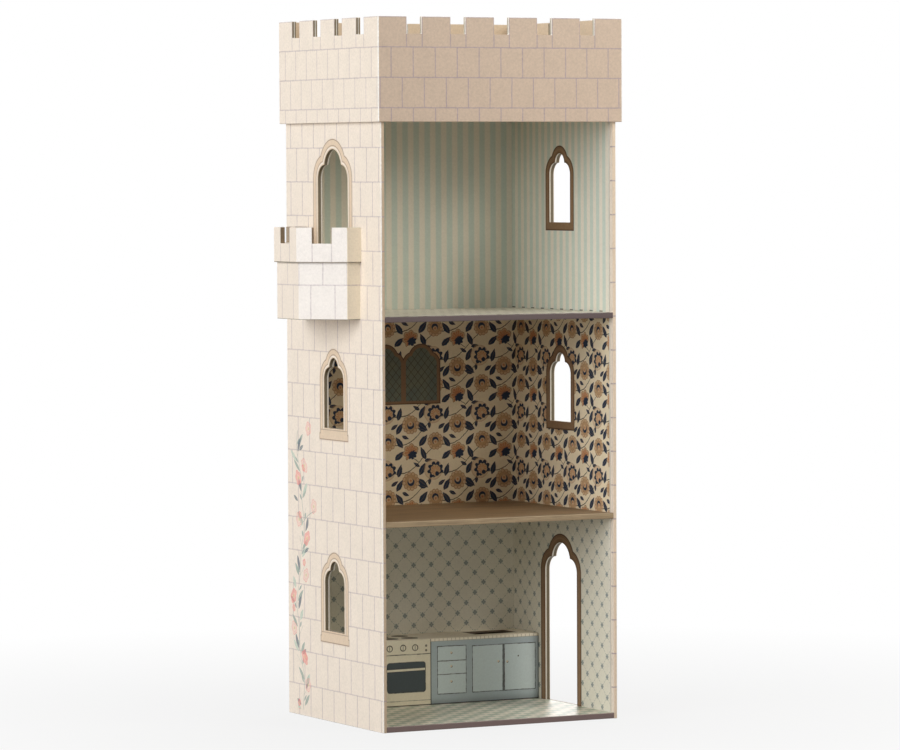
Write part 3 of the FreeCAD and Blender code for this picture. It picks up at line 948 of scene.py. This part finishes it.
def middle_floor_finish():
    """Wood boards running from wall to wall, with a paler wood front edge."""
    material, place = new_finish("wood_print")
    _, y, z = axes(place)
    # Grain is drawn out along the boards.
    drawn_out = (0.07, 1.0, 1.0)
    long_way = place.node("VectorMath", {"operation": "MULTIPLY"}, {0: place, 1: drawn_out})
    grain = noise(long_way, 0.55, 5.0)
    figure = noise(long_way, 0.12, 2.0)
    board, first_joint = 26.0, -4
    row = math.floor((y - first_joint) / board)
    pick = row.node("TexWhiteNoise", {"noise_dimensions": "1D"}, {"W": row})
    tone = 0.35 + grain * 1.15 + (figure - 0.5) * 0.9 + (pick - 0.5) * 0.16
    colour = shade(ink(158, 129, 96), tone)
    joint = stroke(nearest(y - first_joint, board), 0.7)
    colour = paint(colour, joint * 0.5, ink(70, 52, 38))
    edge = shade(ink(162, 142, 114), 0.3 + grain * 1.35)
    lip = within(MIDDLE_TOP - 0.7 - z, 0.4) * 0.4
    edge = paint(edge, lip, ink(196, 180, 154))
    colour = floor_edge(colour, y, edge)
    under = within(z - (MIDDLE_TOP - FLOOR_BOARD) - 0.1, 0.2)
    colour = paint(colour, under, ink(150, 134, 112))
    return close_finish(material, place, colour, tooth=0.04, roughness=0.44, specular=0.3, wear=0.05)


# Kitchen

HOB_CREAM = ink(222, 214, 192)
CABINET = ink(172, 184, 189)
CABINET_FIELD = ink(200, 213, 215)
DARK_LINE = ink(56, 50, 46)
OVEN_GLASS = ink(66, 74, 77)
KNOB_BRASS = ink(222, 206, 174)
KITCHEN_SHADOW = ink(98, 104, 106)
FLOOR_SHADOW = ink(46, 36, 30)
HOB_RING = ink(96, 88, 76)
SINK_HOLE_SHADE_INK = ink(92, 76, 58)

# Panels of the front: left and right edge, lowest and highest point. The cooker is left of x = 0.
DOORS = [(49.2, 85.4, 16.6, 65.6), (87.5, 124.4, 16.6, 65.6)]
DRAWERS = [(7.8, 41.7, 16.6, 37.2), (7.8, 41.7, 37.2, 51.3), (7.8, 41.7, 51.3, 66.7)]
# Places on the front: knobs, the keyhole, the cooker's dials, its two lights and its oven's middle
KNOBS = [(24, 59.7), (24, 45.5), (24, 29.5), (80, 47.9), (90.6, 47.1)]
KEYHOLE = (104, 52.4)
DIALS = [(-48.2, 67), (-32.5, 67.2), (-18.4, 67)]
PILOT_LIGHTS = [(-5.5, 68.5), (-5.5, 63.7)]
OVEN = (-28.9, 36.2)
# Places on the worktop: the hob's rings, and the dark rim round the sink, painted shade that widens its
# hole, as a panel
HOB_RINGS = [(-39, 65), (-39, 88), (-16, 65), (-16, 88)]
SINK_RIM = (61, 112.5, 63.5, 95.5)
COUNTER_TILE = 4.9
COUNTER_EDGE = 3.2


def pressure(place):
    """How hard a pen stroke is pressed, which comes and goes."""
    return noise(place, 0.22, 3.0) * 1.7 - 0.1


def panel(across, up, edges):
    """Signed distance to the edge of a panel of the kitchen unit."""
    left, right, low, high = edges
    return block(across - (left + right) / 2, (right - left) / 2, up, low, high)


def cupboards(place, x, z, wave, pen):
    """Two doors and three drawers, outlined in pen, with small brass knobs."""
    colour = paint(CABINET, within(noise(place, 0.05) - 0.5, 0.6) * 0.3, ink(160, 174, 176))
    for edges in DOORS + DRAWERS:
        edge = panel(x + wave, z + wave, edges)
        colour = paint(colour, within(edge), CABINET_FIELD)
        colour = paint(colour, stroke(edge, 0.9) * pen, DARK_LINE)
    shadow_radius, knob_radius, hole_radius = 1.15, 1.05, 0.8
    for knob_x, knob_z in KNOBS:
        shadow = length(x - knob_x - 0.4, z - knob_z + 0.4) - shadow_radius
        colour = paint(colour, within(shadow), DARK_LINE)
        knob = length(x - knob_x, z - knob_z) - knob_radius
        colour = paint(colour, within(knob), KNOB_BRASS)
    hole_x, hole_z = KEYHOLE
    colour = paint(colour, within(length(x - hole_x, z - hole_z) - hole_radius), DARK_LINE)
    # Painted shade darkens the front towards its foot.
    foot_height, foot_blur = 10, 7
    return paint(colour, within(z + wave - foot_height, foot_blur) * 0.55, KITCHEN_SHADOW)


def cooker(place, x, z, wave, pen):
    """A cream cooker: three dials, two pilot lights, and an oven with a rail."""
    colour = shade(HOB_CREAM, 0.96 + noise(place, 0.2) * 0.1)
    # Level lines under the dials and above the foot
    dial_line, foot_line = 60, 11.5
    colour = paint(colour, stroke(z + wave - dial_line, 0.9) * pen, DARK_LINE)
    colour = paint(colour, stroke(z + wave - foot_line, 0.7) * pen * 0.8, DARK_LINE)
    oven_x, oven_z = OVEN
    half_wide, half_tall, corner = 19.5, 12.8, 3
    glass = length((abs(x - oven_x) - half_wide).most(0), (abs(z - oven_z) - half_tall).most(0)) - corner
    colour = paint(colour, within(glass), OVEN_GLASS)
    colour = paint(colour, stroke(glass, 0.8) * pen, ink(40, 42, 44))
    # The rail leans a little.
    rail_x, rail_z, lean = -29.2, 44, 0.01
    rail = block(x - rail_x, 22.6, z - rail_z - (x - rail_x) * lean, -1.4, 1.4)
    colour = paint(colour, within(rail + 0.2), HOB_CREAM)
    colour = paint(colour, stroke(rail, 0.6) * 0.6, DARK_LINE)
    dial_radius, half_mark, light_radius = 3.1, 2.4, 1.3
    for dial_x, dial_z in DIALS:
        dial = length(x - dial_x, z - dial_z) - dial_radius
        colour = paint(colour, stroke(dial, 1.1) * (0.5 + pen * 0.5), DARK_LINE)
        mark = stroke(x - dial_x, 0.9) * within(abs(z - dial_z) - half_mark)
        colour = paint(colour, mark * 0.7, DARK_LINE)
    for light_x, light_z in PILOT_LIGHTS:
        light = length(x - light_x, z - light_z) - light_radius
        colour = paint(colour, within(light) * 0.8, DARK_LINE)
    return colour


def worktop(place, x, y):
    """A cream worktop with four hob rings, and a dark rim round the sink, painted shade that widens its
    hole.
    """
    colour = shade(ink(249, 240, 221), 0.95 + noise(place, 0.3) * 0.1)
    disc, inner_ring = 9, 6.2
    for ring_x, ring_y in HOB_RINGS:
        radius = length(x - ring_x, y - ring_y)
        colour = paint(colour, within(radius - disc), HOB_RING)
        colour = paint(colour, stroke(radius - inner_ring, 0.8), ink(150, 138, 118))
    return paint(colour, within(panel(x, y, SINK_RIM), 0.8), SINK_HOLE_SHADE_INK)


def kitchen_finish():
    """A cooker and a row of cupboards printed on a card box, with a tiled counter edge."""
    material, place = new_finish("kitchen_print")
    x, y, z = axes(place)
    wave = waver(place, 0.7)
    pen = pressure(place)
    colour = cupboards(place, x, z, wave, pen)
    colour = paint(colour, within(x), cooker(place, x, z, wave, pen))
    colour = paint(colour, stroke(x, 1.1) * 0.9, DARK_LINE)
    # The gap between the two doors
    left_door, right_door = DOORS
    door_gap = (left_door[1] + right_door[0]) / 2
    middle = (left_door[2] + left_door[3]) / 2
    reach = 25
    colour = paint(colour, stroke(x - door_gap, 1.3) * within(abs(z - middle) - reach) * 0.8, DARK_LINE)
    colour = paint(colour, within(z - KITCHEN_LOW.z - 1.1, 0.6) * 0.9, FLOOR_SHADOW)
    # Tiled edge of the counter, and the worktop
    counter = KITCHEN_HIGH.z - COUNTER_EDGE
    tile_joint = stroke(nearest(x, COUNTER_TILE), 0.6)
    tiles = paint(ink(238, 229, 210), tile_joint * 0.6, ink(140, 126, 106))
    tiles = paint(tiles, stroke(z - counter, 0.6) * 0.7, DARK_LINE)
    colour = paint(colour, within(counter - z) * within(-x), tiles)
    top = within(KITCHEN_HIGH.z - 0.25 - z, CRISP)
    colour = paint(colour, top, worktop(place, x, y))
    # The unit's inside and the sink's cut edge are bare card.
    behind_front = within(KITCHEN_LOW.y + 1.2 - y, 0.2)
    inner = behind_front * (1 - top) * within(x - KITCHEN_HIGH.x + 0.4, 0.2)
    colour = paint(colour, inner, ink(120, 108, 90))
    return close_finish(material, place, colour, tooth=0.02, roughness=0.46, specular=0.25, wear=0.07)


def plain_board_finish():
    """Unprinted tan board."""
    material, place = new_finish("plain_tan_board")
    flecks = noise(place, 0.6, 4.0)
    colour = shade(TAN_BOARD, 0.93 + flecks * 0.14)
    return close_finish(material, place, colour, tooth=0.06, roughness=0.75, specular=0.3, wear=0.05)


# Dressing the pieces

dress("tower_shell", tower_shell_finish())
dress("crown_band", crown_finish())
dress("balcony_body", balcony_body_finish())
dress("balcony_band", balcony_band_finish())
dress(
    "ground_room_lining",
    lining_finish("trellis_wallpaper", trellis_pattern, LEFT_OPENINGS[0], RIGHT_OPENINGS[0]),
)
dress(
    "middle_room_lining",
    lining_finish("flowered_wallpaper", floral_pattern, LEFT_OPENINGS[1], RIGHT_OPENINGS[1]),
)
dress(
    "upper_room_lining",
    lining_finish("striped_wallpaper", striped_pattern, LEFT_OPENINGS[2], RIGHT_OPENINGS[2]),
)
dress("ground_floor", ground_floor_finish())
dress("middle_floor", middle_floor_finish())
dress("upper_floor", upper_floor_finish())
dress("kitchen_unit", kitchen_finish())
tan_board = plain_board_finish()
dress("balcony_floor", tan_board)
dress("roof_deck", tan_board)


# Floor, light and camera

FLOOR_REACH = 6.0
# Just under the tower's foot, so that the two don't share a plane
FLOOR_DROP = 0.0002


def studio_floor():
    """A pale floor that keeps the tower's faint shadow and fades to white with distance."""
    mesh = bpy.data.meshes.new("studio_floor")
    reach = FLOOR_REACH
    corners = [(-reach, -reach, 0), (reach, -reach, 0), (reach, reach, 0), (-reach, reach, 0)]
    mesh.from_pydata(corners, [], [(0, 1, 2, 3)])
    floor = bpy.data.objects.new("studio_floor", mesh)
    bpy.context.scene.collection.objects.link(floor)
    floor.location.z = -FLOOR_DROP
    material, place = new_finish("studio_floor")
    x, y, _ = axes(place)
    paper = x.node("BsdfDiffuse", {}, {"Color": (0.4, 0.4, 0.4, 1)})
    white = x.node("Emission", {}, {"Color": (1, 1, 1, 1), "Strength": 1.0})
    outputs = x.node("LightPath", {}, {}).socket.node.outputs
    seen = Wire(outputs["Is Camera Ray"]).most(Wire(outputs["Is Glossy Ray"]))
    # White from a metre off, and a little of the paper's shading under the tower
    fade = within(0.5 - length(x, y) / MM, 1.0)
    lift = seen * (0.82 + fade * 0.18)
    shader = x.node("MixShader", {}, {0: lift, 1: paper, 2: white})
    shader.node("OutputMaterial", {}, {"Surface": shader})
    mesh.materials.append(material)


def add_lamp(name, kind, colour, strength):
    """A lamp. At strength 1 a white card that faces a sun renders white."""
    light = bpy.data.lights.new(name, kind)
    light.color = colour
    light.energy = strength * math.pi
    lamp = bpy.data.objects.new(name, light)
    bpy.context.scene.collection.objects.link(lamp)
    return lamp


def towards(azimuth, elevation):
    """A direction; azimuth 0 is before the open front and 90 before the balcony."""
    a, e = math.radians(azimuth), math.radians(elevation)
    return Vector((-math.sin(a) * math.cos(e), -math.cos(a) * math.cos(e), math.sin(e)))


def key_lamp():
    """A broad low light from the balcony's side."""
    lamp = add_lamp("key", "SUN", (0.995, 1.0, 1.0), 1.06)
    lamp.data.angle = math.radians(62)
    lamp.rotation_euler = towards(77, 12).to_track_quat("Z", "Y").to_euler()


def back_lamp():
    """A broad light from behind on the right, which also falls through that wall's openings."""
    lamp = add_lamp("back", "SUN", (1.0, 0.98, 0.94), 0.6)
    lamp.data.angle = math.radians(50)
    lamp.rotation_euler = towards(-128, 24).to_track_quat("Z", "Y").to_euler()


def fill_lamp():
    """A warm soft box before the open front, right of the middle, that looks down at the upper room."""
    distance, height, dip = 1.4, 1.14, 0.36
    level = 0.7
    lamp = add_lamp("fill", "AREA", (1.0, 0.95, 0.85), level * math.pi * distance * distance)
    lamp.data.shape = "DISK"
    lamp.data.size = 0.9
    direction = towards(-34, 0)
    lamp.location = direction * distance + Vector((0, -HALF_DEPTH / MM, height))
    lamp.rotation_euler = (direction + Vector((0, 0, dip))).to_track_quat("Z", "Y").to_euler()


def studio_world():
    """White to the camera and in reflections, a dim warm fill for the rest."""
    world = bpy.data.worlds.new("studio")
    bpy.context.scene.world = world
    world.use_nodes = True
    tree = world.node_tree
    tree.nodes.clear()
    rays = Wire(tree.nodes.new("ShaderNodeLightPath").outputs["Is Camera Ray"])
    outputs = rays.socket.node.outputs
    shown = rays.most(Wire(outputs["Is Glossy Ray"])).most(Wire(outputs["Is Transmission Ray"]))
    fill = rays.node("Background", {}, {"Color": (1.0, 0.9, 0.75, 1), "Strength": 0.07})
    white = rays.node("Background", {}, {"Color": (1, 1, 1, 1), "Strength": 1.0})
    mixed = rays.node("MixShader", {}, {0: shown, 1: fill, 2: white})
    rays.node("OutputWorld", {}, {"Surface": mixed})


def camera():
    """A long lens from the front left, as high as the upper room."""
    data = bpy.data.cameras.new("camera")
    data.sensor_width = 36
    data.lens = 192.76
    data.clip_end = 50
    made = bpy.data.objects.new("camera", data)
    bpy.context.scene.collection.objects.link(made)
    place = (-2.3044, -4.422, 0.5697)
    yaw, pitch, roll = (math.radians(angle) for angle in (27.518, 2.482, -0.25))
    ahead = Vector((math.sin(yaw) * math.cos(pitch), math.cos(yaw) * math.cos(pitch), -math.sin(pitch)))
    right = Vector((math.cos(yaw), -math.sin(yaw), 0))
    up = right.cross(ahead)
    tilted_right = right * math.cos(roll) + up * math.sin(roll)
    tilted_up = up * math.cos(roll) - right * math.sin(roll)
    turned = Matrix((tilted_right, tilted_up, -ahead)).transposed()
    made.matrix_world = Matrix.Translation(place) @ turned.to_4x4()
    bpy.context.scene.camera = made


studio_floor()
key_lamp()
fill_lamp()
back_lamp()
studio_world()
camera()
bpy.context.scene.view_settings.view_transform = "Standard"
